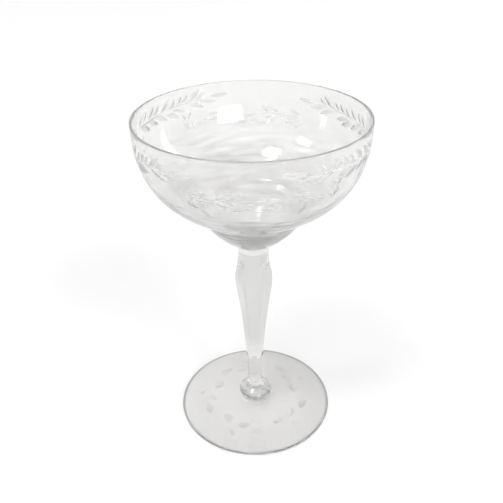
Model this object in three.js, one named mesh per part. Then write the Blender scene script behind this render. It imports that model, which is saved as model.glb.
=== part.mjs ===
// A tall champagne saucer in clear crystal, built up as it is in the glasshouse: a cast foot,
// a button knop, a panelled baluster stem, a small bit of hot glass, and a blown bowl whose
// round cup steps in at a ledge to a small bulb. Each is a solid of its own, seated on the next.
// Millimetres, +Z up. The origin is the middle of the foot, on the table.
import * as THREE from "three";

// ---- Driving sizes ------------------------------------------------------------------------

// Foot: a thin round disc that rises gently to its middle, hollowed a little underneath.
const footRadius = 34.8;
const footEdge = 1.3; // thickness of the rounded edge
const footHeight = 3.0; // top of the middle, where the knop sits
const footRingWidth = 7.5; // flat ring under the edge that touches the table
const footHollow = 0.7; // depth of the hollow inside that ring

// Knop: a low button, undercut at its waist, domed up into the neck of the stem.
const knopHeight = 9.3;
const knopRadius = 7.35;
const knopWaist = 5.8; // radius where it sits on the foot
const knopWidest = 4.4; // height of its widest line above the foot
const knopFlare = 0.4; // share of that height at which its side heads outwards most

// Stem: a plain round neck, then a baluster with flat panels that swells and draws in again.
const neckRadius = 3.4;
const neckHeight = 15.7;
const panelCount = 6;
const panelTurn = 25.5; // degrees from the front to the first ridge, towards +X
const ridgeFoot = 3.98; // radius of the ridges where the panels begin
const ridgeSwell = 8.1; // radius of the ridges at the swell
const swellRise = 41.6; // panels' start to the swell
const swellFall = 15.4; // swell to the top of the stem
const panelFade = 7.0; // stretch at the top over which the panels run out into the round
const ridgeLean = 0.32; // share of the widening spent while the stem is still nearly straight
const ridgeStraight = 0.68; // share of the rise over which the ridges stay nearly straight
const ridgeTurn = 0.86; // share of the rise after which they turn upright into the swell
const swellHold = 0.35; // share of the fall over which the swell stays full
const topHold = 0.47; // share of the fall after which the top is already narrow

// Bit: the small disc of glass that joins the stem to the bowl.
const bitRadius = 6.4;
const bitHeight = 2.2;

// Bowl: the bulb, the ledge and the cup.
const bulbHeight = 16.96;
const bulbBulge = 1.6; // how far the bulb's side stands out from a straight cone
const ledgeRadius = 22.5;
const cupHeight = 37.84; // ledge to rim
const cupRadius = 44.6;
const cupBelly = 2.78; // how full the cup is low down
const cupShoulder = 1.89; // how quickly the side turns upright
const rimDrop = 1.0; // the rim lies this far under the cup's widest level
const rimWall = 1.0;
const ledgeWall = 1.9;
const bulbWall = 2.8;

// ---- Fineness of the solids ---------------------------------------------------------------

const bowlSides = 56;
const footSides = 48;
const knopSides = 32;
const stemSides = 24; // a multiple of panelCount, so that each ridge falls on an edge

// ---- Heights of the seats, from the table up ----------------------------------------------

const knopSeat = footHeight;
const stemSeat = knopSeat + knopHeight;
const panelStart = stemSeat + neckHeight;
const swellLevel = panelStart + swellRise;
const bitSeat = swellLevel + swellFall;
const bowlSeat = bitSeat + bitHeight;
const ledgeLevel = bowlSeat + bulbHeight;
const rimLevel = ledgeLevel + cupHeight;

// ---- Shapes -------------------------------------------------------------------------------

const point = (radius, height) => new THREE.Vector2(radius, height);
const mix = (from, to, share) => from + (to - from) * share;

// A round solid from an outline of (radius, height) points that runs up the outside.
function turned(outline, sides) {
  return new THREE.LatheGeometry(outline, sides).rotateX(Math.PI / 2);
}

// Points along a circular arc from one point to another; bulge is its height over the chord.
function arcPoints(from, to, bulge, steps) {
  const chord = to.clone().sub(from);
  const side = point(chord.y, -chord.x).normalize();
  const radius = (chord.lengthSq() / 4 + bulge * bulge) / (2 * bulge);
  const half = Math.asin(chord.length() / 2 / radius);
  const points = [];
  for (let i = 0; i <= steps; i += 1) {
    const angle = mix(-half, half, i / steps);
    const along = radius * Math.sin(angle) / chord.length() + 0.5;
    const out = bulge - radius * (1 - Math.cos(angle));
    points.push(from.clone().addScaledVector(chord, along).addScaledVector(side, out));
  }
  return points;
}

function footOutline() {
  const edge = footEdge / 2;
  const ringInner = footRadius - footRingWidth;
  const outline = new THREE.Path();
  outline.moveTo(0, footHollow);
  outline.bezierCurveTo(ringInner / 2, footHollow, ringInner / 2, 0, ringInner, 0);
  outline.lineTo(footRadius - edge, 0);
  outline.absarc(footRadius - edge, edge, edge, -Math.PI / 2, Math.PI / 2);
  outline.quadraticCurveTo(footRadius / 2, footHeight - edge, knopWaist, footHeight);
  outline.lineTo(0, footHeight);
  return outline.getPoints(6);
}

function knopOutline() {
  const widest = knopSeat + knopWidest;
  const shoulder = (widest + stemSeat) / 2;
  const outline = new THREE.Path();
  outline.moveTo(0, knopSeat);
  outline.lineTo(knopWaist, knopSeat);
  outline.quadraticCurveTo(knopRadius, mix(knopSeat, widest, knopFlare), knopRadius, widest);
  outline.bezierCurveTo(knopRadius, shoulder, neckRadius, shoulder, neckRadius, stemSeat);
  outline.lineTo(0, stemSeat);
  return outline.getPoints(7);
}

// The stem's panelled length: the radius of its ridges against the height.
function ridgeLine() {
  const line = new THREE.Path();
  line.moveTo(ridgeFoot, panelStart);
  line.bezierCurveTo(
    mix(ridgeFoot, ridgeSwell, ridgeLean), mix(panelStart, swellLevel, ridgeStraight),
    ridgeSwell, mix(panelStart, swellLevel, ridgeTurn),
    ridgeSwell, swellLevel,
  );
  line.bezierCurveTo(
    ridgeSwell, mix(swellLevel, bitSeat, swellHold),
    bitRadius, mix(swellLevel, bitSeat, topHold),
    bitRadius, bitSeat,
  );
  return line.getPoints(9);
}

// One ring of the stem: flat panels between ridges at share 1, a plain circle at share 0.
function stemRing(radius, height, share) {
  const panel = (2 * Math.PI) / panelCount;
  const first = THREE.MathUtils.degToRad(panelTurn - 90);
  const ring = [];
  for (let i = 0; i < stemSides; i += 1) {
    const angle = (2 * Math.PI * i) / stemSides;
    const offRidge = (angle % panel) - panel / 2;
    const flat = Math.cos(panel / 2) / Math.cos(offRidge);
    const reach = radius * mix(1, flat, share);
    const turn = first + angle;
    ring.push(reach * Math.cos(turn), reach * Math.sin(turn), height);
  }
  return ring;
}

// A closed solid from rings of equal count, flat at both ends.
function ringed(rings, sides) {
  const places = rings.flat();
  const bottom = places.length / 3;
  places.push(0, 0, rings[0][2], 0, 0, rings[rings.length - 1][2]);
  const faces = [];
  for (let i = 0; i < sides; i += 1) {
    const next = (i + 1) % sides;
    const last = (rings.length - 1) * sides;
    faces.push(bottom, next, i, bottom + 1, last + i, last + next);
    for (let row = 0; row < last; row += sides) {
      faces.push(row + i, row + next, row + sides + next);
      faces.push(row + i, row + sides + next, row + sides + i);
    }
  }
  const solid = new THREE.BufferGeometry();
  solid.setAttribute("position", new THREE.Float32BufferAttribute(places, 3));
  solid.setIndex(faces);
  solid.computeVertexNormals();
  return solid;
}

function stemSolid() {
  const rings = [stemRing(neckRadius, stemSeat, 0), stemRing(neckRadius, panelStart, 0)];
  for (const { x: radius, y: height } of ridgeLine()) {
    const share = THREE.MathUtils.smoothstep(bitSeat - height, 0, panelFade);
    rings.push(stemRing(radius, height, share));
  }
  return ringed(rings, stemSides);
}

// The cup's outside, from the ledge up to the rim: a superellipse.
function cupPoints(steps) {
  const ledge = Math.acos((ledgeRadius / cupRadius) ** (cupShoulder / 2));
  const reach = (cupHeight + rimDrop) / Math.sin(ledge) ** (2 / cupBelly);
  const rim = Math.asin((rimDrop / reach) ** (cupBelly / 2));
  const points = [];
  for (let i = 0; i <= steps; i += 1) {
    const angle = mix(ledge, rim, i / steps);
    const radius = cupRadius * Math.cos(angle) ** (2 / cupShoulder);
    const depth = reach * Math.sin(angle) ** (2 / cupBelly);
    points.push(point(radius, rimLevel + rimDrop - depth));
  }
  return points;
}

// The inside of a wall: each point of the outside, moved in square to it by the wall there.
function innerPoints(outer, wallFrom, wallTo) {
  return outer.map((at, i) => {
    const before = outer[Math.max(i - 1, 0)];
    const after = outer[Math.min(i + 1, outer.length - 1)];
    const run = after.clone().sub(before).normalize();
    const wall = mix(wallFrom, wallTo, i / (outer.length - 1));
    return point(at.x - run.y * wall, at.y + run.x * wall);
  });
}

function bowlOutline() {
  const bulb = arcPoints(point(bitRadius, bowlSeat), point(ledgeRadius, ledgeLevel), bulbBulge, 5);
  const cup = cupPoints(11);
  const bulbInside = innerPoints(bulb, bulbWall, ledgeWall);
  const cupInside = innerPoints(cup, ledgeWall, rimWall);
  const low = bulbInside[0];
  const slope = Math.atan2(bulbInside[1].y - low.y, bulbInside[1].x - low.x);
  const well = point(0, low.y - (low.x * Math.tan(slope)) / 2);
  const rimOuter = cup[cup.length - 1];
  const lip = rimWall / 2;
  cup[cup.length - 1] = point(rimOuter.x, rimLevel - lip);
  cupInside[cupInside.length - 1] = point(rimOuter.x - rimWall, rimLevel - lip);
  return [
    point(0, bowlSeat),
    ...bulb.slice(0, -1),
    ...cup,
    point(rimOuter.x - lip * 0.3, rimLevel - lip * 0.3),
    point(rimOuter.x - lip, rimLevel),
    point(rimOuter.x - lip * 1.7, rimLevel - lip * 0.3),
    ...cupInside.reverse(),
    ...bulbInside.reverse(),
    point(low.x / 2, mix(well.y, low.y, 0.25)),
    well,
  ];
}

// ---- The glass ----------------------------------------------------------------------------

const crystal = () => new THREE.MeshStandardMaterial({
  color: 0xf3f6f6,
  roughness: 0.03,
  metalness: 0,
  transparent: true,
  opacity: 0.35,
});

function piece(name, solid) {
  const mesh = new THREE.Mesh(solid, crystal());
  mesh.name = name;
  return mesh;
}

const glass = new THREE.Group();
glass.add(
  piece("foot", turned(footOutline(), footSides)),
  piece("foot_knop", turned(knopOutline(), knopSides)),
  piece("stem", stemSolid()),
  piece("stem_bit", turned([
    point(0, bitSeat),
    point(bitRadius, bitSeat),
    point(bitRadius, bowlSeat),
    point(0, bowlSeat),
  ], knopSides)),
  piece("bowl", turned(bowlOutline(), bowlSides)),
);

export default glass;
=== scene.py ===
"""A tall champagne saucer in clear crystal, with leaf sprays cut into its cup and its foot."""

import math

import bpy
import numpy as np
from mathutils import Matrix, Vector


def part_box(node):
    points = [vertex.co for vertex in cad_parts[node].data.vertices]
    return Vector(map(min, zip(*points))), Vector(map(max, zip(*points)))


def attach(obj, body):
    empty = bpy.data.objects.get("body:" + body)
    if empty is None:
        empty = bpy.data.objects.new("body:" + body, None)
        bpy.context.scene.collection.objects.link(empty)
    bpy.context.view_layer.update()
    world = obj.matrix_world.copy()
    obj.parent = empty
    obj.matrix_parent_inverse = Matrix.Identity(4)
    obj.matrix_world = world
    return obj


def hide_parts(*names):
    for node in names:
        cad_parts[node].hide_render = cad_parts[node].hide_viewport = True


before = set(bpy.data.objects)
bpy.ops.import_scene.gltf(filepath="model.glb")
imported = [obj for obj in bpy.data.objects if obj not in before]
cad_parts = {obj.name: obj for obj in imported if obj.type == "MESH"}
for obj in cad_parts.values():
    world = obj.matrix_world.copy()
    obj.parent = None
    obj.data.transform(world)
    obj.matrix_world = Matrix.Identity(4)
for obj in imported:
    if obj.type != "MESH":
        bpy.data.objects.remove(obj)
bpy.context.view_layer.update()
MM = 0.001


# ---- Camera -------------------------------------------------------------------------------

def make_camera():
    """Stands in front of the glass and looks down into it."""
    back, up, aside = 222.5 * MM, 218.1 * MM, -0.34 * MM
    down, swing, lean = math.radians(31.245), math.radians(-0.125), math.radians(-0.916)
    forward = Vector((
        math.sin(swing) * math.cos(down), math.cos(swing) * math.cos(down), -math.sin(down),
    ))
    level = Vector((math.cos(swing), -math.sin(swing), 0))
    upright = level.cross(forward)
    right = level * math.cos(lean) + upright * math.sin(lean)
    top = upright * math.cos(lean) - level * math.sin(lean)
    data = bpy.data.cameras.new("camera")
    data.sensor_width = 36
    data.lens = 44.83
    data.clip_start = 0.01
    camera = bpy.data.objects.new("camera", data)
    bpy.context.scene.collection.objects.link(camera)
    turn = Matrix((right, top, -forward)).transposed().to_4x4()
    camera.matrix_world = Matrix.Translation((aside, -back, up)) @ turn
    bpy.context.scene.camera = camera


make_camera()


# ---- Node trees ---------------------------------------------------------------------------

class Value:
    """A socket of a node tree that takes part in sums as a number does."""

    def __init__(self, tree, socket):
        self.tree, self.socket = tree, socket

    def math(self, operation, *others):
        return self.tree.add("ShaderNodeMath", {"operation": operation}, self, *others)

    def __add__(self, other):
        return self.math("ADD", other)

    def __sub__(self, other):
        return self.math("SUBTRACT", other)

    def __mul__(self, other):
        return self.math("MULTIPLY", other)

    def __truediv__(self, other):
        return self.math("DIVIDE", other)

    def __pow__(self, other):
        return self.math("POWER", other)

    def __rsub__(self, other):
        return self.tree.add("ShaderNodeMath", {"operation": "SUBTRACT"}, other, self)

    __radd__, __rmul__ = __add__, __mul__

    def __getitem__(self, name):
        """Another output of the same node."""
        return Value(self.tree, self.socket.node.outputs[name])

    def vector(self, operation, *others, out="Vector", **named):
        settings = {"operation": operation}
        return self.tree.add("ShaderNodeVectorMath", settings, self, *others, out=out, **named)


class Tree:
    """Adds nodes to a node tree, each by its type, its settings and what goes into its sockets."""

    def __init__(self, nodes):
        self.nodes = nodes

    def add(self, kind, settings=None, *inputs, out=0, **named):
        node = self.nodes.nodes.new(kind)
        for name, value in (settings or {}).items():
            setattr(node, name, value)
        for key, value in [*enumerate(inputs), *named.items()]:
            socket = node.inputs[key if isinstance(key, int) else key.replace("_", " ")]
            if isinstance(value, Value):
                self.nodes.links.new(value.socket, socket)
            elif value is not None:
                socket.default_value = value
        return Value(self, node.outputs[out]) if len(node.outputs) else node


# ---- Sizes that pieces share, in millimetres --------------------------------------------------

def heights(node):
    """The levels at which a node begins and ends."""
    low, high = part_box(node)
    return low.z / MM, high.z / MM


def radius_of(node):
    """A round node's radius."""
    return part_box(node)[1].x / MM


knop_seat, stem_seat = heights("foot_knop")
bit_seat, bowl_seat = heights("stem_bit")
rim_level = heights("bowl")[1]
foot_radius = radius_of("foot")
knop_radius = radius_of("foot_knop")
bit_radius = radius_of("stem_bit")
cup_radius = radius_of("bowl")
knop_waist = 5.8  # where the knop sits on the foot
neck_radius = 3.4  # where the stem sits on the knop


# ---- Crystal ------------------------------------------------------------------------------

CLOUD_SCALE, WAVE_SCALE, RING_SCALE = 70.0, 45.0, 700.0  # how fine the marks are, per metre
CLOUD_SHADE = 0.03  # how far cloudiness moves the tint
CLOUD_ROUGH = 0.01  # and the roughness
WAVE_HEIGHT = 0.6 * MM
RING_DRAW = (0.12, 0.12, 1.0)  # draws spots out sideways, into rings
RING_MEAN = 0.53  # the middle of the rings' noise, where their painted light and shade leave the tint as it is
RING_RIPPLE = 2.0  # how much more rings ripple a wall than they paint light and shade into its tint
GREEN_SHARE, BLUE_SHARE = 0.997, 0.99  # of the tint: a trace of warmth


def make_crystal(name, tint, rough=0.0, wave=0.25, haze=0.0, thick_shade=None, edge=None, streaks=None):
    """Clear glass with the faint waviness that hot working leaves, a little hazy from wear.

    tint is how clear a surface is, with 1 as quite clear, and haze is the share that scatters light.
    thick is (tint, from, to): painted shade, a darker tint for a thicker wall, and the heights
    between which the wall thickens and the shade grows.
    edge is (tint, radius, height): painted shade, the darker tint of an edge, past both that
    radius and that height.
    streaks is (strength, from, to): the rings that turning in a wet block leaves low on a blown
    wall, which ripple it and carry light and dark streaks painted into its tint, and the heights
    between which they grow.
    """
    material = bpy.data.materials.new(name)
    material.use_nodes = True
    material.node_tree.nodes.clear()
    tree = Tree(material.node_tree)
    spot = tree.add("ShaderNodeTexCoord", out="Object")
    axes = tree.add("ShaderNodeSeparateXYZ", None, spot)
    height = axes["Z"]
    cloud = tree.add("ShaderNodeTexNoise", None, spot, Scale=CLOUD_SCALE, Detail=2.0)
    waves = tree.add("ShaderNodeTexNoise", None, spot, Scale=WAVE_SCALE, Detail=1.0)
    shade = (cloud - 0.5) * CLOUD_SHADE + tint

    def grown(start, end):
        """0 at the start height and 1 from the end height on."""
        return tree.add("ShaderNodeMapRange", None, height, start * MM, end * MM, 0.0, 1.0)

    # painted shade: the tint darkens between the two heights
    if thick_shade:
        low, start, end = thick_shade
        shade = shade - grown(start, end) * (tint - low)
    if streaks:
        strength, start, end = streaks
        drawn = tree.add("ShaderNodeMapping", None, spot, Scale=RING_DRAW)
        ring = tree.add("ShaderNodeTexNoise", None, drawn, Scale=RING_SCALE, Detail=1.0)
        depth = grown(start, end) * strength
        waves = waves + ring * depth * RING_RIPPLE
        # painted light and shade: light and dark streaks along the rings
        shade = shade + (ring - RING_MEAN) * depth
    # painted shade: the tint darkens past the edge's radius and height
    if edge:
        low, radius, floor = edge
        out = (axes["X"] ** 2 + axes["Y"] ** 2) ** 0.5
        edge_shade_mask = out.math("GREATER_THAN", radius * MM) * height.math("GREATER_THAN", floor * MM)
        shade = shade - edge_shade_mask * (tint - low)
    colour = tree.add("ShaderNodeCombineColor", None, shade, shade * GREEN_SHARE, shade * BLUE_SHARE)
    bump = tree.add("ShaderNodeBump", None, Strength=wave, Distance=WAVE_HEIGHT, Height=waves)
    glass = tree.add(
        "ShaderNodeBsdfPrincipled", None, Base_Color=colour, Roughness=cloud * CLOUD_ROUGH + rough,
        IOR=1.53, Transmission_Weight=1.0 - haze, Normal=bump,
    )
    tree.add("ShaderNodeOutputMaterial", None, glass)
    return material


def make_seam(name):
    """Where two pieces of glass are fused: nothing shows and nothing bends."""
    material = bpy.data.materials.new(name)
    material.use_nodes = True
    material.node_tree.nodes.clear()
    tree = Tree(material.node_tree)
    tree.add("ShaderNodeOutputMaterial", None, tree.add("ShaderNodeBsdfTransparent"))
    return material


bowl_shade_starts, bowl_shade_full = 119, 106  # painted shade grows between these, as the wall thickens
rings_end, rings_full = 129, 108  # its rings, with painted light and shade, grow from the first down to the second
neck_clear, panels_dark = 26, 38  # painted shade darkens the stem between its clear neck and its panels
rim_shade_from = rim_level - 0.8  # painted shade darkens the rim above this level
foot_shade_from = foot_radius - 1.1  # painted shade darkens the foot's edge outside this radius
AXIS, BELOW_FOOT = 0, -1  # bounds that leave nothing out

# One crystal makes all five pieces; each tint is its faint grey with painted light and shade mixed in,
# lighter for the knop and the bit and darker for the stem.
blown_crystal = make_crystal(
    # painted shade on the rim and the lower wall, painted light and shade along the rings
    "blown_crystal", 0.936, haze=0.15, thick_shade=(0.75, bowl_shade_starts, bowl_shade_full),
    edge=(0.91, AXIS, rim_shade_from), streaks=(0.85, rings_end, rings_full),
)
# painted shade darkens the stem's panels
stem_crystal = make_crystal("stem_crystal", 0.92, haze=0.06, thick_shade=(0.68, neck_clear, panels_dark))
bit_crystal = make_crystal("bit_crystal", 0.95)
knop_crystal = make_crystal("knop_crystal", 0.985)
# painted shade on the foot's edge
foot_crystal = make_crystal("foot_crystal", 0.932, haze=0.03, edge=(0.70, foot_shade_from, BELOW_FOOT))
# the cuts' darker tint is painted shade
leaf_cut = make_crystal("leaf_cut_crystal", 0.89, rough=0.35, wave=0.15, haze=0.25)
# the wreath's darker tint is painted shadow, the shade its cuts cast on the table below
wreath_cut = make_crystal("wreath_cut_crystal", 0.86, rough=0.45, wave=0.3, haze=0.1)
fused = make_seam("fused_joint")


# ---- Outlines, as (radius, height) points that run up the outside of a round piece ----------

SIDES = 240  # of a round piece
BOWL_SIDES = 360  # more, because its thin rim would show them


def mix(start, end, share):
    """The value at a share of the way from start to end."""
    return start + (end - start) * share


def smooth(share):
    """A share of the way that sets off and arrives slowly."""
    return share * share * (3 - 2 * share)


def bezier(p0, p1, p2, p3, steps):
    """Points along a cubic curve, without its first."""
    t = np.linspace(0, 1, steps + 1)[1:, None]
    p0, p1, p2, p3 = (np.array(p, float) for p in (p0, p1, p2, p3))
    return (1 - t) ** 3 * p0 + 3 * (1 - t) ** 2 * t * p1 + 3 * (1 - t) * t**2 * p2 + t**3 * p3


def bend(p0, p1, p2, steps):
    """Points along a curve that leaves p0 towards p1 and reaches p2 from p1, without its first."""
    p0, p1, p2 = (np.array(p, float) for p in (p0, p1, p2))
    return bezier(p0, p0 + (p1 - p0) * 2 / 3, p2 + (p1 - p2) * 2 / 3, p2, steps)


def turned(outline, sides=SIDES, below=False, above=False):
    """The vertices, faces and face slots of a round solid.

    below and above say whether its first and last rows of faces are fused to another piece.
    """
    outline = np.array(outline, float)
    angles = np.arange(sides) * 2 * math.pi / sides
    verts, rows = [], []
    for radius, height in outline:
        if radius == 0:
            rows.append([len(verts)] * sides)
            verts.append((0, 0, height))
        else:
            rows.append(list(range(len(verts), len(verts) + sides)))
            verts += [(radius * math.sin(a), -radius * math.cos(a), height) for a in angles]
    faces, slots = [], []
    last = len(rows) - 2
    for row, (low, high) in enumerate(zip(rows[:-1], rows[1:])):
        joint = (below and row == 0) or (above and row == last)
        for i in range(sides):
            j = (i + 1) % sides
            faces.append(list(dict.fromkeys((low[i], low[j], high[j], high[i]))))
            slots.append(int(joint))
    return verts, faces, slots


def make_blank(name, solid, glass, sharp=30):
    """A mesh in metres from a solid in millimetres."""
    verts, faces, slots = solid
    mesh = bpy.data.meshes.new(name)
    mesh.from_pydata([Vector(v) * MM for v in verts], [], faces)
    mesh.materials.append(glass)
    mesh.materials.append(fused)
    mesh.polygons.foreach_set("material_index", slots)
    mesh.validate()
    mesh.shade_smooth()
    mesh.set_sharp_from_angle(angle=math.radians(sharp))
    piece = bpy.data.objects.new(name, mesh)
    bpy.context.scene.collection.objects.link(piece)
    return piece


def place(piece, node):
    """Makes a finished piece stand for its node of the frame."""
    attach(piece, "root")
    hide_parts(node)


# ---- Foot ---------------------------------------------------------------------------------

foot_edge = 1.3  # thickness of the rounded edge
foot_ring = 7.5  # width of the flat ring that stands on the table
foot_hollow = 0.7  # depth of the hollow inside that ring


def foot_solid():
    """From the hollow out to the ring, round the edge and up the gentle rise to the knop."""
    edge, ring, top = foot_edge / 2, foot_radius - foot_ring, knop_seat
    turn = foot_radius - edge
    outline = [(0, foot_hollow)]
    outline += list(bezier((0, foot_hollow), (ring / 2, foot_hollow), (ring / 2, 0), (ring, 0), 30))
    outline += [(mix(ring, turn, i / 4), 0) for i in range(1, 5)]
    for i in range(1, 13):
        a = -math.pi / 2 + math.pi * i / 12
        outline.append((turn + edge * math.cos(a), edge + edge * math.sin(a)))
    outline += list(bend((turn, 2 * edge), (foot_radius / 2, top - edge), (knop_waist, top), 40))
    outline.append((0, top))
    return turned(outline, above=True)


# ---- Knop ---------------------------------------------------------------------------------

knop_widest = 4.4  # height of its widest line above the foot
knop_flare = 0.4  # share of that height at which its side heads outwards most


def knop_solid():
    """A button, undercut at its waist and domed up into the neck of the stem."""
    widest = knop_seat + knop_widest
    flare, shoulder = mix(knop_seat, widest, knop_flare), (widest + stem_seat) / 2
    outline = [(0, knop_seat), (knop_waist, knop_seat)]
    outline += list(bend((knop_waist, knop_seat), (knop_radius, flare), (knop_radius, widest), 16))
    outline += list(bezier(
        (knop_radius, widest), (knop_radius, shoulder), (neck_radius, shoulder),
        (neck_radius, stem_seat), 24,
    ))
    outline.append((0, stem_seat))
    return turned(outline, below=True, above=True)


# ---- Stem ---------------------------------------------------------------------------------

PANELS, FIRST_RIDGE = 6, math.radians(25.5)
neck_height = 15.7
swell_rise = 41.6  # panels' start to the swell
panel_start = stem_seat + neck_height
swell_level = panel_start + swell_rise
ridge_foot, ridge_swell = 3.98, 8.1  # radius of the ridges at the panels' start and at the swell
panel_ease = 0.4  # half the height over which the neck turns into panels
panel_fade = 7.0  # stretch at the top over which the panels run out into the round
ridge_lean, ridge_straight = 0.32, 0.68  # shares of the widening and the rise spent nearly straight
ridge_turn = 0.86  # share of the rise after which the ridges turn upright into the swell
swell_hold, top_hold = 0.35, 0.47  # shares of the fall at which the swell ends and the top begins


def panel_reach(angle, crisp=36):
    """How far a panelled section reaches at an angle, as a share of its slightly eased ridges."""
    turns = FIRST_RIDGE + math.pi / PANELS + np.arange(PANELS) * 2 * math.pi / PANELS
    facing = np.maximum(np.cos(angle - turns), 0)
    return math.cos(math.pi / PANELS) / (facing**crisp).sum() ** (1 / crisp)


def stem_solid():
    """A round neck, then panels that swell, draw in again and run out into the round."""
    line = [(neck_radius, z) for z in np.linspace(stem_seat, panel_start - panel_ease, 10)]
    shares = [0.0] * len(line)
    for i in range(1, 7):
        share = smooth(i / 6)
        level = panel_start - panel_ease + 2 * panel_ease * (i / 6)
        line.append((mix(neck_radius, ridge_foot, share), level))
        shares.append(share)
    rise = bezier(
        (ridge_foot, panel_start + panel_ease),
        (mix(ridge_foot, ridge_swell, ridge_lean), mix(panel_start, swell_level, ridge_straight)),
        (ridge_swell, mix(panel_start, swell_level, ridge_turn)), (ridge_swell, swell_level), 60,
    )
    fall = bezier(
        (ridge_swell, swell_level), (ridge_swell, mix(swell_level, bit_seat, swell_hold)),
        (bit_radius, mix(swell_level, bit_seat, top_hold)), (bit_radius, bit_seat), 40,
    )
    for radius, level in [*rise, *fall]:
        line.append((radius, level))
        shares.append(smooth(min((bit_seat - level) / panel_fade, 1)))
    verts, faces, slots = turned([(0, stem_seat), *line, (0, bit_seat)], below=True, above=True)
    panelled = [panel_reach(i * 2 * math.pi / SIDES) for i in range(SIDES)]
    for row, share in enumerate(shares):
        radius, level = line[row]
        for i in range(SIDES):
            at = 1 + row * SIDES + i
            x, y, z = verts[at]
            drawn = mix(1, panelled[i], share)
            if share > 0 and level < panel_start + panel_ease:
                drawn = max(drawn, neck_radius / radius)
            verts[at] = (x * drawn, y * drawn, z)
    return verts, faces, slots


# ---- Bit ----------------------------------------------------------------------------------

def bit_solid():
    """A plain disc."""
    side = [(bit_radius, z) for z in np.linspace(bit_seat, bowl_seat, 5)]
    return turned([(0, bit_seat), *side, (0, bowl_seat)], below=True, above=True)


# ---- Bowl ---------------------------------------------------------------------------------

ledge_radius = 22.5
cup_height = 37.84  # ledge to rim
cup_belly = 2.78  # how full the cup is low down
cup_shoulder = 1.89  # how quickly its side turns upright
rim_drop = 1.0  # the rim lies this far under the cup's widest level
bulb_bulge = 1.6  # how far the bulb's side stands out from a straight cone
rim_wall, ledge_wall, bulb_wall = 1.0, 1.9, 2.8
outer_ease, inner_ease = 1.2, 1.6  # how far from the ledge its outer and inner corners start
ledge_level = rim_level - cup_height


def arc(start, end, bulge, steps):
    """Points along a circular arc whose middle stands bulge proud of its chord."""
    start, end = np.array(start, float), np.array(end, float)
    chord = end - start
    length = np.hypot(*chord)
    side = np.array((chord[1], -chord[0])) / length
    radius = (length**2 / 4 + bulge**2) / (2 * bulge)
    half = math.asin(length / 2 / radius)
    turns = np.linspace(-half, half, steps + 1)[:, None]
    along = radius * np.sin(turns) / length + 0.5
    out = bulge - radius * (1 - np.cos(turns))
    return start + chord * along + side * out


def cup_points(steps):
    """The cup's outside from the ledge to the rim."""
    ledge = math.acos((ledge_radius / cup_radius) ** (cup_shoulder / 2))
    depth = (cup_height + rim_drop) / math.sin(ledge) ** (2 / cup_belly)
    rim = math.asin((rim_drop / depth) ** (cup_belly / 2))
    turns = np.linspace(ledge, rim, steps + 1)
    radii = cup_radius * np.cos(turns) ** (2 / cup_shoulder)
    return np.c_[radii, rim_level + rim_drop - depth * np.sin(turns) ** (2 / cup_belly)]


def inside(outer, wall_from, wall_to):
    """Each point of the outside moved in square to it by the wall there."""
    run = np.gradient(outer, axis=0)
    run /= np.hypot(*run.T)[:, None]
    wall = np.linspace(wall_from, wall_to, len(outer))[:, None]
    return outer + np.c_[-run[:, 1], run[:, 0]] * wall


def eased(below, above, ease, steps=6):
    """Joins two lines of points, and rounds their corner from ease millimetres off on each side."""
    corner = above[0]
    low = below[np.hypot(*(below - corner).T) > ease]
    high = above[np.hypot(*(above - corner).T) > ease]
    return np.vstack([low, bend(low[-1], corner, high[0], steps)[:-1], high])


def bowl_solid():
    """Up the outside of the bulb and the cup, over the lip and down the inside to a dished floor."""
    bulb = arc((bit_radius, bowl_seat), (ledge_radius, ledge_level), bulb_bulge, 20)
    cup = cup_points(64)
    outer = eased(bulb, cup, outer_ease)
    bulb_in = inside(bulb, bulb_wall, ledge_wall)
    cup_in = inside(cup, ledge_wall, rim_wall)
    set_in = np.array((-0.15, 0.15))
    corner = cup_in[0] * 0.5 + bulb_in[-1] * 0.5 + set_in
    bulb_in, cup_in = np.vstack([bulb_in[:-1], corner]), np.vstack([corner, cup_in[1:]])
    inner = eased(bulb_in, cup_in, inner_ease, 8)
    lip = rim_wall / 2
    outer = outer[outer[:, 1] < rim_level - lip]
    inner = inner[inner[:, 1] < rim_level - lip]
    middle = cup[-1][0] - lip
    over = np.linspace(0, math.pi, 13)
    lips = [(middle + lip * math.cos(a), rim_level - lip + lip * math.sin(a)) for a in over]
    low = inner[0]
    slope = math.atan2(*(inner[1] - low)[::-1])
    dish = low[0] / math.sin(slope)
    floor = []
    for a in np.linspace(slope, 0, 14)[1:]:
        floor.append((dish * math.sin(a), low[1] - dish * (math.cos(a) - math.cos(slope))))
    outline = [(0, bowl_seat), *outer, *lips, *inner[::-1], *floor[:-1], (0, floor[-1][1])]
    return turned(outline, BOWL_SIDES, below=True)


# ---- Wheel cuts -----------------------------------------------------------------------------

def make_object(name, verts, faces, **attributes):
    """A mesh object whose points carry numbers or vectors by name."""
    mesh = bpy.data.meshes.new(name)
    mesh.from_pydata(verts, [], faces)
    for key, values in attributes.items():
        flat = np.array(values, float)
        kind, field = ("FLOAT", "value") if flat.ndim == 1 else ("FLOAT_VECTOR", "vector")
        mesh.attributes.new(key, kind, "POINT").data.foreach_set(field, flat.ravel())
    piece = bpy.data.objects.new(name, mesh)
    bpy.context.scene.collection.objects.link(piece)
    return piece


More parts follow.
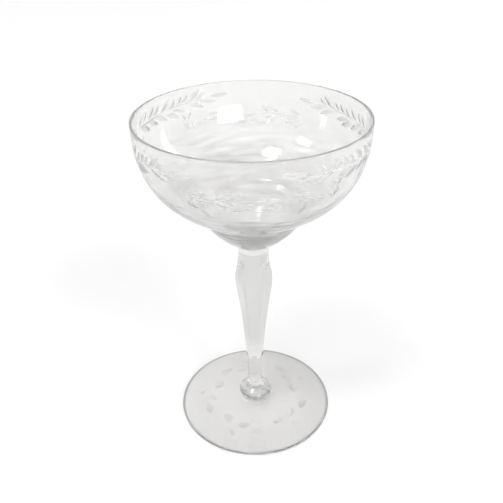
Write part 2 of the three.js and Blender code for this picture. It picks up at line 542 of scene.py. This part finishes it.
def make_stroke(stations=13):
    """The solid that one stroke of a mitre wheel takes away: a keel and two edges at each station."""
    past = 0.04  # how far, as a share of its depth, the wheel is out of the glass at each end
    along, across, swell, faces = [], [], [], []
    for i in range(stations):
        share = i / (stations - 1)
        along += [share] * 3
        across += [-1, 0, 1]
        swell += [(1 + past) * (1 - (2 * share - 1) ** 2) - past] * 3
    for at in range(0, 3 * (stations - 1), 3):
        left, keel, right = at, at + 1, at + 2
        faces += [(left, keel, keel + 3, left + 3), (keel, right, right + 3, keel + 3)]
        faces.append((right, left, left + 3, right + 3))
    last = 3 * (stations - 1)
    faces += [(0, 2, 1), (last, last + 1, last + 2)]
    verts = [(a, b, abs(b)) for a, b in zip(along, across)]
    return make_object("wheel_stroke", verts, faces, along=along, across=across, swell=swell)


def make_cutting_tree():
    """Repeats each stroke round the axis, lays it on the blank and gives it its V-shaped section."""
    group = bpy.data.node_groups.new("wheel_cutting", "GeometryNodeTree")
    sockets = {
        "Strokes": "Geometry", "Blank": "Object", "Stroke": "Object", "Repeats": "Int",
        "Slope": "Float", "Lift": "Float", "Finish": "Material",
    }
    for name, kind in sockets.items():
        group.interface.new_socket(name, in_out="INPUT", socket_type="NodeSocket" + kind)
    group.interface.new_socket("Cutters", in_out="OUTPUT", socket_type="NodeSocketGeometry")
    tree = Tree(group)
    given = tree.add("NodeGroupInput")

    def read(name, kind="FLOAT"):
        return tree.add("GeometryNodeInputNamedAttribute", {"data_type": kind}, name)

    def store(geometry, name, vector):
        settings = {"data_type": "FLOAT_VECTOR", "domain": "POINT"}
        return tree.add("GeometryNodeStoreNamedAttribute", settings, geometry, None, name, vector)

    blank = tree.add("GeometryNodeObjectInfo", None, given["Blank"], out="Geometry")
    stroke = tree.add("GeometryNodeObjectInfo", None, given["Stroke"], out="Geometry")
    repeats = given["Repeats"]
    copies = tree.add("GeometryNodeDuplicateElements", {"domain": "POINT"}, given, Amount=repeats)
    turn = copies["Duplicate Index"] * math.tau / repeats

    def round_axis(vector):
        return tree.add("ShaderNodeVectorRotate", {"rotation_type": "Z_AXIS"}, vector, Angle=turn)

    start = round_axis(tree.add("GeometryNodeInputPosition"))
    cast = round_axis(read("cast", "FLOAT_VECTOR"))
    seat = tree.add(
        "GeometryNodeRaycast", None, blank, Source_Position=start, Ray_Direction=cast, Ray_Length=1.0,
        out="Hit Position",
    )
    facing = seat["Hit Normal"]
    heading = round_axis(read("heading", "FLOAT_VECTOR"))
    off = facing.vector("SCALE", Scale=heading.vector("DOT_PRODUCT", facing, out="Value"))
    run = heading.vector("SUBTRACT", off).vector("NORMALIZE")
    points = store(copies, "seat", seat)
    points = store(points, "run", run)
    points = store(points, "side", facing.vector("CROSS_PRODUCT", run))
    strokes = tree.add("GeometryNodeInstanceOnPoints", None, points, None, stroke)
    solids = tree.add("GeometryNodeRealizeInstances", None, strokes)

    along, across, half = read("along"), read("across"), read("width") / 2
    lengthwise = (along - 0.5) * read("length")
    edge = across * (half * read("swell") + given["Lift"] / given["Slope"])
    sideways = edge + read("bow") * 4 * along * (1 - along)
    flat = read("run", "FLOAT_VECTOR").vector("SCALE", Scale=lengthwise)
    flat = flat.vector("ADD", read("side", "FLOAT_VECTOR").vector("SCALE", Scale=sideways))
    flat = flat.vector("ADD", read("seat", "FLOAT_VECTOR"))
    near = tree.add("GeometryNodeProximity", None, blank, Sample_Position=flat)
    normal = tree.add("GeometryNodeInputNormal")
    outward = tree.add(
        "GeometryNodeSampleNearestSurface", {"data_type": "FLOAT_VECTOR"}, blank, normal,
        Sample_Position=flat,
    )
    outer = across.math("ABSOLUTE")
    rise = outer * given["Lift"] - (1 - outer) * read("swell") * half * given["Slope"]
    bent = near.vector("ADD", outward.vector("SCALE", Scale=rise))
    solids = tree.add("GeometryNodeSetPosition", None, solids, Position=bent)
    solids = tree.add("GeometryNodeSetMaterial", None, solids, None, given["Finish"])
    tree.add("NodeGroupOutput", None, solids)
    return group


def freeze(piece):
    """Turns what a piece's modifiers make into its own plain mesh."""
    made = piece.evaluated_get(bpy.context.evaluated_depsgraph_get())
    mesh = bpy.data.meshes.new_from_object(made)
    piece.modifiers.clear()
    piece.data = mesh


def make_cutters(name, strokes, blank, **settings):
    """All the strokes on one blank. Each has a start and a cast to find its seat, and its own sizes."""
    points = [stroke.pop("start") for stroke in strokes]
    columns = {key: [stroke[key] for stroke in strokes] for key in strokes[0]}
    cutters = make_object(name, points, [], **columns)
    modifier = cutters.modifiers.new("cutting", "NODES")
    modifier.node_group = cutting_tree
    settings |= {"Blank": blank, "Stroke": wheel_stroke}
    for item in cutting_tree.interface.items_tree:
        if item.name in settings:
            modifier[item.identifier] = settings[item.name]
    freeze(cutters)
    return cutters


def cut(blank, cutters, sharp=9):
    """Cuts the strokes out of the blank, which keeps its own glass elsewhere."""
    wheel = blank.modifiers.new("wheel", "BOOLEAN")
    wheel.object = cutters
    wheel.operation = "DIFFERENCE"
    wheel.solver = "MANIFOLD"
    wheel.material_mode = "TRANSFER"
    freeze(blank)
    bpy.data.objects.remove(cutters)
    blank.data.set_sharp_from_angle(angle=math.radians(sharp))


wheel_stroke = make_stroke()
cutting_tree = make_cutting_tree()


# ---- Garland on the cup: strokes as (root turn, root fall, tip turn, tip fall, width, bow) ------

# Turns are degrees from the front towards +X, falls are millimetres down the cup's side from
# its rim, and a bow is how far the stroke's middle stands off its chord, to its left.
UPPER_VINE = [
    (34, 6.8, 22.5, 5.9, 0.5, 0.1),
    (57, 7.4, 33, 6.8, 0.6, -0.3),
    (83, 7.6, 56, 7.4, 0.7, 0.3),
]
UPPER_SPRAY = [
    (23.5, 5.6, 13.2, 5.2, 1.8, 0.2),
    (32.7, 6.2, 26.6, 3.2, 1.7, 0.2),
    (37.9, 6.3, 29.1, 1.8, 2.4, 0.3),
    (41.5, 6.1, 37.3, 3.0, 1.5, 0.2),
    (45.6, 6.5, 41.3, 3.2, 1.9, 0.2),
    (50, 6.8, 45.8, 3.5, 1.7, 0.2),
    (57, 6.7, 50, 2.6, 2.3, 0.3),
    (63, 6.7, 57.5, 3.2, 1.9, 0.2),
    (69, 6.8, 62.5, 2.8, 2.3, 0.3),
    (75, 6.9, 69.5, 3.2, 1.9, 0.2),
    (80.5, 6.9, 75.5, 3.3, 1.8, 0.2),
    (31, 7.3, 20, 8.1, 1.4, -0.2),
    (37.1, 7.5, 27.3, 10.0, 1.8, -0.3),
    (49, 8.3, 39.5, 10.1, 2.1, -0.3),
    (53.5, 9.0, 44, 12.0, 2.3, -0.3),
    (62, 8.2, 52.5, 11.2, 2.3, -0.3),
    (70, 8.3, 60.5, 11.0, 2.2, -0.3),
    (78, 8.4, 68.5, 11.3, 2.3, -0.3),
]
HANGING_STEMS = [
    (83, 8.6, 83, 17.6, 0.5, 0.0),
    (40.5, 10.6, 38.5, 19.5, 0.5, 0.3),
]
HANGING_SPRIGS = [
    (82, 12.6, 77, 10.9, 1.5, 0.2),
    (83.4, 12.6, 88.5, 10.9, 1.5, -0.2),
    (82.6, 16.0, 76.5, 14.2, 1.6, 0.2),
    (83.6, 16.0, 89.7, 14.2, 1.6, -0.2),
    (83, 17.9, 83, 22.5, 1.8, 0.0),
    (39.3, 13.6, 36, 10.6, 1.5, -0.2),
    (40.3, 13.6, 42.6, 10.9, 1.3, 0.2),
    (38.5, 17.6, 35, 14.6, 1.4, -0.2),
    (39.4, 17.6, 42.6, 14.8, 1.4, 0.2),
]
LOWER_VINE = [
    (-31, 15.0, -8.5, 14.5, 0.6, 0.3),
    (-9.5, 14.5, 12, 14.7, 0.5, -0.3),
]
LOWER_SPRAY = [
    (-16.6, 13.8, -8.6, 11.3, 1.3, 0.2),
    (-10, 13.6, -5, 11.4, 1.1, 0.2),
    (-16.6, 15.7, -10.8, 17.4, 1.3, -0.2),
    (-11.8, 15.0, -8, 16.3, 1.1, -0.1),
    (-0.2, 15.3, 11.9, 17.0, 1.6, 0.3),
    (-9.4, 18.9, 1.5, 17.7, 1.4, 0.4),
    (2.5, 18.2, 9, 17.8, 1.1, 0.2),
    (-27.4, 15.8, -20.2, 15.9, 1.1, 0.1),
    (-25.4, 17.6, -20, 17.6, 1.1, 0.1),
    (-31, 17.4, -25, 19.3, 1.3, -0.2),
    (-29, 13.9, -22, 12.2, 1.3, 0.2),
    (19, 13.0, 25.5, 13.2, 1.1, 0.1),
    (19.5, 15.6, 26, 15.6, 1.3, 0.2),
    (26.5, 15.0, 34, 17.0, 1.3, -0.2),
]
FACING_LINE = -7  # the upper spray is met by its mirror image across this turn
LEFT_SAG = 1.5  # and that one lies this much lower
GARLAND_REPEATS = 2


def mirrored(strokes):
    """The spray that faces the upper one."""
    return [
        (2 * FACING_LINE - t0, f0 + LEFT_SAG, 2 * FACING_LINE - t1, f1 + LEFT_SAG, width, -bow)
        for t0, f0, t1, f1, width, bow in strokes
    ]


def cup_strokes(drawing):
    """A drawing's strokes, each found by a cast square to the cup's side."""
    side = cup_points(200)[::-1]
    falls = np.r_[0, np.cumsum(np.hypot(*np.diff(side, axis=0).T))]
    stand_off = 8.0  # a cast starts this far off the glass
    step = 0.5  # and the side's slope is measured over this fall
    strokes = []
    for root_turn, root_fall, tip_turn, tip_fall, width, bow in drawing:
        turn = math.radians((root_turn + tip_turn) / 2)
        fall = (root_fall + tip_fall) / 2
        here, lower = ([np.interp(f, falls, side[:, k]) for k in (0, 1)] for f in (fall, fall + step))
        down = np.subtract(lower, here)
        down /= np.hypot(*down)
        outward = Vector((math.sin(turn), -math.cos(turn), 0))
        level = Vector((math.cos(turn), math.sin(turn), 0))
        upright = outward * -down[0] + Vector((0, 0, -down[1]))
        square = level.cross(upright)
        round_cup = math.radians(tip_turn - root_turn) * here[0]
        heading = level * round_cup - upright * (tip_fall - root_fall)
        seat = outward * here[0] + Vector((0, 0, here[1]))
        strokes.append({
            "start": (seat + square * stand_off) * MM, "cast": -square, "heading": heading,
            "length": heading.length * MM, "width": width * MM, "bow": bow * MM,
        })
    return strokes


# ---- Wreath on the foot: strokes as (root turn, root reach, tip turn, tip reach, width, bow) -----

WREATH = [
    (-50, 19.0, -33, 20.5, 3.8, 0.6),
    (-26, 20.5, -8, 18.5, 3.6, -0.6),
    (-6, 22.5, 10, 24.5, 3.2, 0.5),
    (-31, 24.5, -22, 27.5, 2.4, 0.3),
]
WREATH_REPEATS = 5


def foot_strokes(drawing):
    """A drawing's strokes, each found by a cast straight down onto the foot."""
    strokes = []
    for root_turn, root_reach, tip_turn, tip_reach, width, bow in drawing:
        ends = []
        for turn, far in ((root_turn, root_reach), (tip_turn, tip_reach)):
            a = math.radians(turn)
            ends.append(Vector((far * math.sin(a), -far * math.cos(a), 2 * knop_seat)))
        heading = ends[1] - ends[0]
        strokes.append({
            "start": (ends[0] + ends[1]) / 2 * MM, "cast": Vector((0, 0, -1)), "heading": heading,
            "length": heading.length * MM, "width": width * MM, "bow": bow * MM,
        })
    return strokes


# ---- The five pieces --------------------------------------------------------------------------

foot = make_blank("foot_glass", foot_solid(), foot_crystal)
knop = make_blank("knop_glass", knop_solid(), knop_crystal)
stem = make_blank("stem_glass", stem_solid(), stem_crystal)
bit = make_blank("bit_glass", bit_solid(), bit_crystal)
bowl = make_blank("bowl_glass", bowl_solid(), blown_crystal)

vines = UPPER_VINE + mirrored(UPPER_VINE) + HANGING_STEMS + LOWER_VINE
leaves = UPPER_SPRAY + mirrored(UPPER_SPRAY) + HANGING_SPRIGS + LOWER_SPRAY
garland = [
    make_cutters(
        name, cup_strokes(drawing), bowl,
        Repeats=GARLAND_REPEATS, Slope=0.32, Lift=0.15 * MM, Finish=leaf_cut,
    )
    for name, drawing in (("vines", vines), ("leaves", leaves))
]
for cutters in garland:
    cut(bowl, cutters)
wreath = make_cutters(
    "wreath", foot_strokes(WREATH), foot,
    Repeats=WREATH_REPEATS, Slope=0.16, Lift=0.1 * MM, Finish=wreath_cut,
)
cut(foot, wreath)
bpy.data.objects.remove(wheel_stroke)

place(foot, "foot")
place(knop, "foot_knop")
place(stem, "stem")
place(bit, "stem_bit")
place(bowl, "bowl")


# ---- Table, room and windows ----------------------------------------------------------------

def make_table():
    """A wide white top, a hair under the foot so that their faces don't meet."""
    half, hair = 3.0, 0.05 * MM
    corners = [(-half, -half, 0), (half, -half, 0), (half, half, 0), (-half, half, 0)]
    mesh = bpy.data.meshes.new("table")
    mesh.from_pydata(corners, [], [(0, 1, 2, 3)])
    table = bpy.data.objects.new("table", mesh)
    table.location.z = -hair
    bpy.context.scene.collection.objects.link(table)
    material = bpy.data.materials.new("white_table")
    material.use_nodes = True
    shader = material.node_tree.nodes["Principled BSDF"]
    shader.inputs["Base Color"].default_value = (0.94, 0.94, 0.94, 1)
    shader.inputs["Roughness"].default_value = 1.0
    shader.inputs["Specular IOR Level"].default_value = 0.0
    mesh.materials.append(material)


def make_window(name, azimuth, elevation, distance, width, height, strength):
    """Hangs a bright pane that faces the bowl, and returns it.

    Azimuth is in degrees from +Y towards +X, and the distance and the sizes are in metres.
    """
    aim = Vector((0, 0, 0.1))
    a, e = math.radians(azimuth), math.radians(elevation)
    towards = Vector((math.sin(a) * math.cos(e), math.cos(a) * math.cos(e), math.sin(e)))
    lamp = bpy.data.lights.new(name, "AREA")
    lamp.shape, lamp.size, lamp.size_y = "RECTANGLE", width, height
    lamp.energy = strength * width * height * math.pi
    window = bpy.data.objects.new(name, lamp)
    window.location = towards * distance + aim
    window.rotation_euler = (-towards).to_track_quat("-Z", "Y").to_euler()
    bpy.context.scene.collection.objects.link(window)
    return window


def make_room():
    """A pale room, dim at eye level all round and brighter towards the ceiling."""
    world = bpy.data.worlds.new("room")
    bpy.context.scene.world = world
    world.use_nodes = True
    world.node_tree.nodes.clear()
    tree = Tree(world.node_tree)
    towards = tree.add("ShaderNodeTexCoord", out="Generated")
    up = tree.add("ShaderNodeSeparateXYZ", None, towards, out="Z")
    smoothly = {"interpolation_type": "SMOOTHSTEP"}
    light = tree.add(
        "ShaderNodeMapRange", smoothly, up, From_Min=0.2, From_Max=0.8, To_Min=0.34, To_Max=0.76,
    )
    tree.add("ShaderNodeOutputWorld", None, tree.add("ShaderNodeBackground", None, light))


def set_light_paths():
    """Lets light find its way through many walls of glass."""
    cycles = bpy.context.scene.cycles
    cycles.blur_glossy = 0.0
    cycles.max_bounces = 48
    cycles.glossy_bounces = 36
    cycles.transmission_bounces = 48
    cycles.transparent_max_bounces = 24


make_table()
make_room()
make_window("window_right", 157, 9, 5.0, 2.4, 1.8, 8)
make_window("window_left", -98, 1, 5.0, 0.55, 1.2, 8)
make_window("window_aside", 71, 12, 5.0, 0.7, 3.4, 7)
make_window("window_high", -108, 36, 8.0, 2.4, 1.0, 7)
make_window("ceiling_lamp", -135, 66, 8.0, 2.0, 2.0, 12)
key_lamp = make_window("key_lamp", 140, 42, 8.0, 2.4, 2.4, 6)  # it gives the shadow and no reflection
key_lamp.visible_glossy = False
key_lamp.visible_transmission = False
set_light_paths()
bpy.context.scene.view_settings.view_transform = "Standard"
